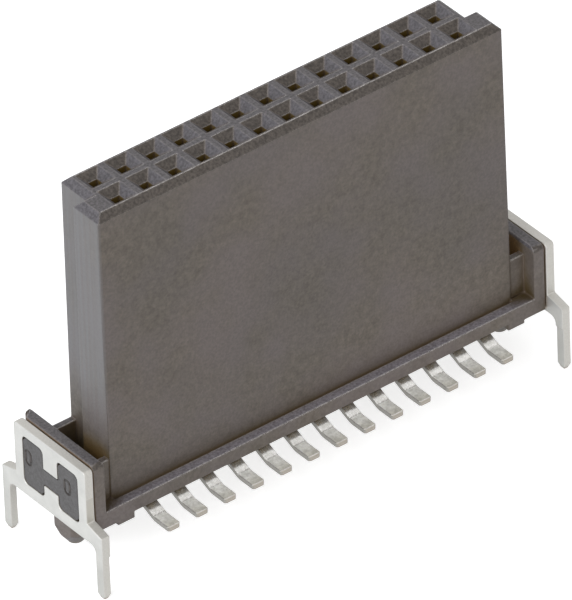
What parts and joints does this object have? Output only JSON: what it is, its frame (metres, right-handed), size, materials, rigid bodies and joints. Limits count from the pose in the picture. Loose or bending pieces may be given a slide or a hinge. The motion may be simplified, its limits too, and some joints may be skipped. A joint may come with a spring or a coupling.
{
  "type": "rectangular connector",
  "caption": "Tall two-row board connector socket with gull-wing solder leads, locating pegs and a metal hold-down clip at each end.",
  "frame": {"origin": "middle of the contact grid, on the surface of the circuit board that the leads are soldered to", "axes": "+X along the contact rows, -Y towards the side that the longer half of the tower is on, +Z away from the board"},
  "size_m": [0.0214, 0.0064, 0.0153],
  "materials": {
    "housing_plastic": "matte, warm dark grey moulded resin",
    "clip_metal": "matte tin plate on a stamped strip",
    "contact_metal": "bright tin plate, with gold on the spring beams inside"
  },
  "bodies": {
    "root": {"housing": "housing_plastic", "hold_down_left": "clip_metal", "hold_down_right": "clip_metal", "contact_front_01": "contact_metal", "contact_front_02": "contact_metal", "contact_front_03": "contact_metal", "contact_front_04": "contact_metal", "contact_front_05": "contact_metal", "contact_front_06": "contact_metal", "contact_front_07": "contact_metal", "contact_front_08": "contact_metal", "contact_front_09": "contact_metal", "contact_front_10": "contact_metal", "contact_front_11": "contact_metal", "contact_front_12": "contact_metal", "contact_front_13": "contact_metal", "contact_back_01": "contact_metal", "contact_back_02": "contact_metal", "contact_back_03": "contact_metal", "contact_back_04": "contact_metal", "contact_back_05": "contact_metal", "contact_back_06": "contact_metal", "contact_back_07": "contact_metal", "contact_back_08": "contact_metal", "contact_back_09": "contact_metal", "contact_back_10": "contact_metal", "contact_back_11": "contact_metal", "contact_back_12": "contact_metal", "contact_back_13": "contact_metal"}
  },
  "joints": []
}
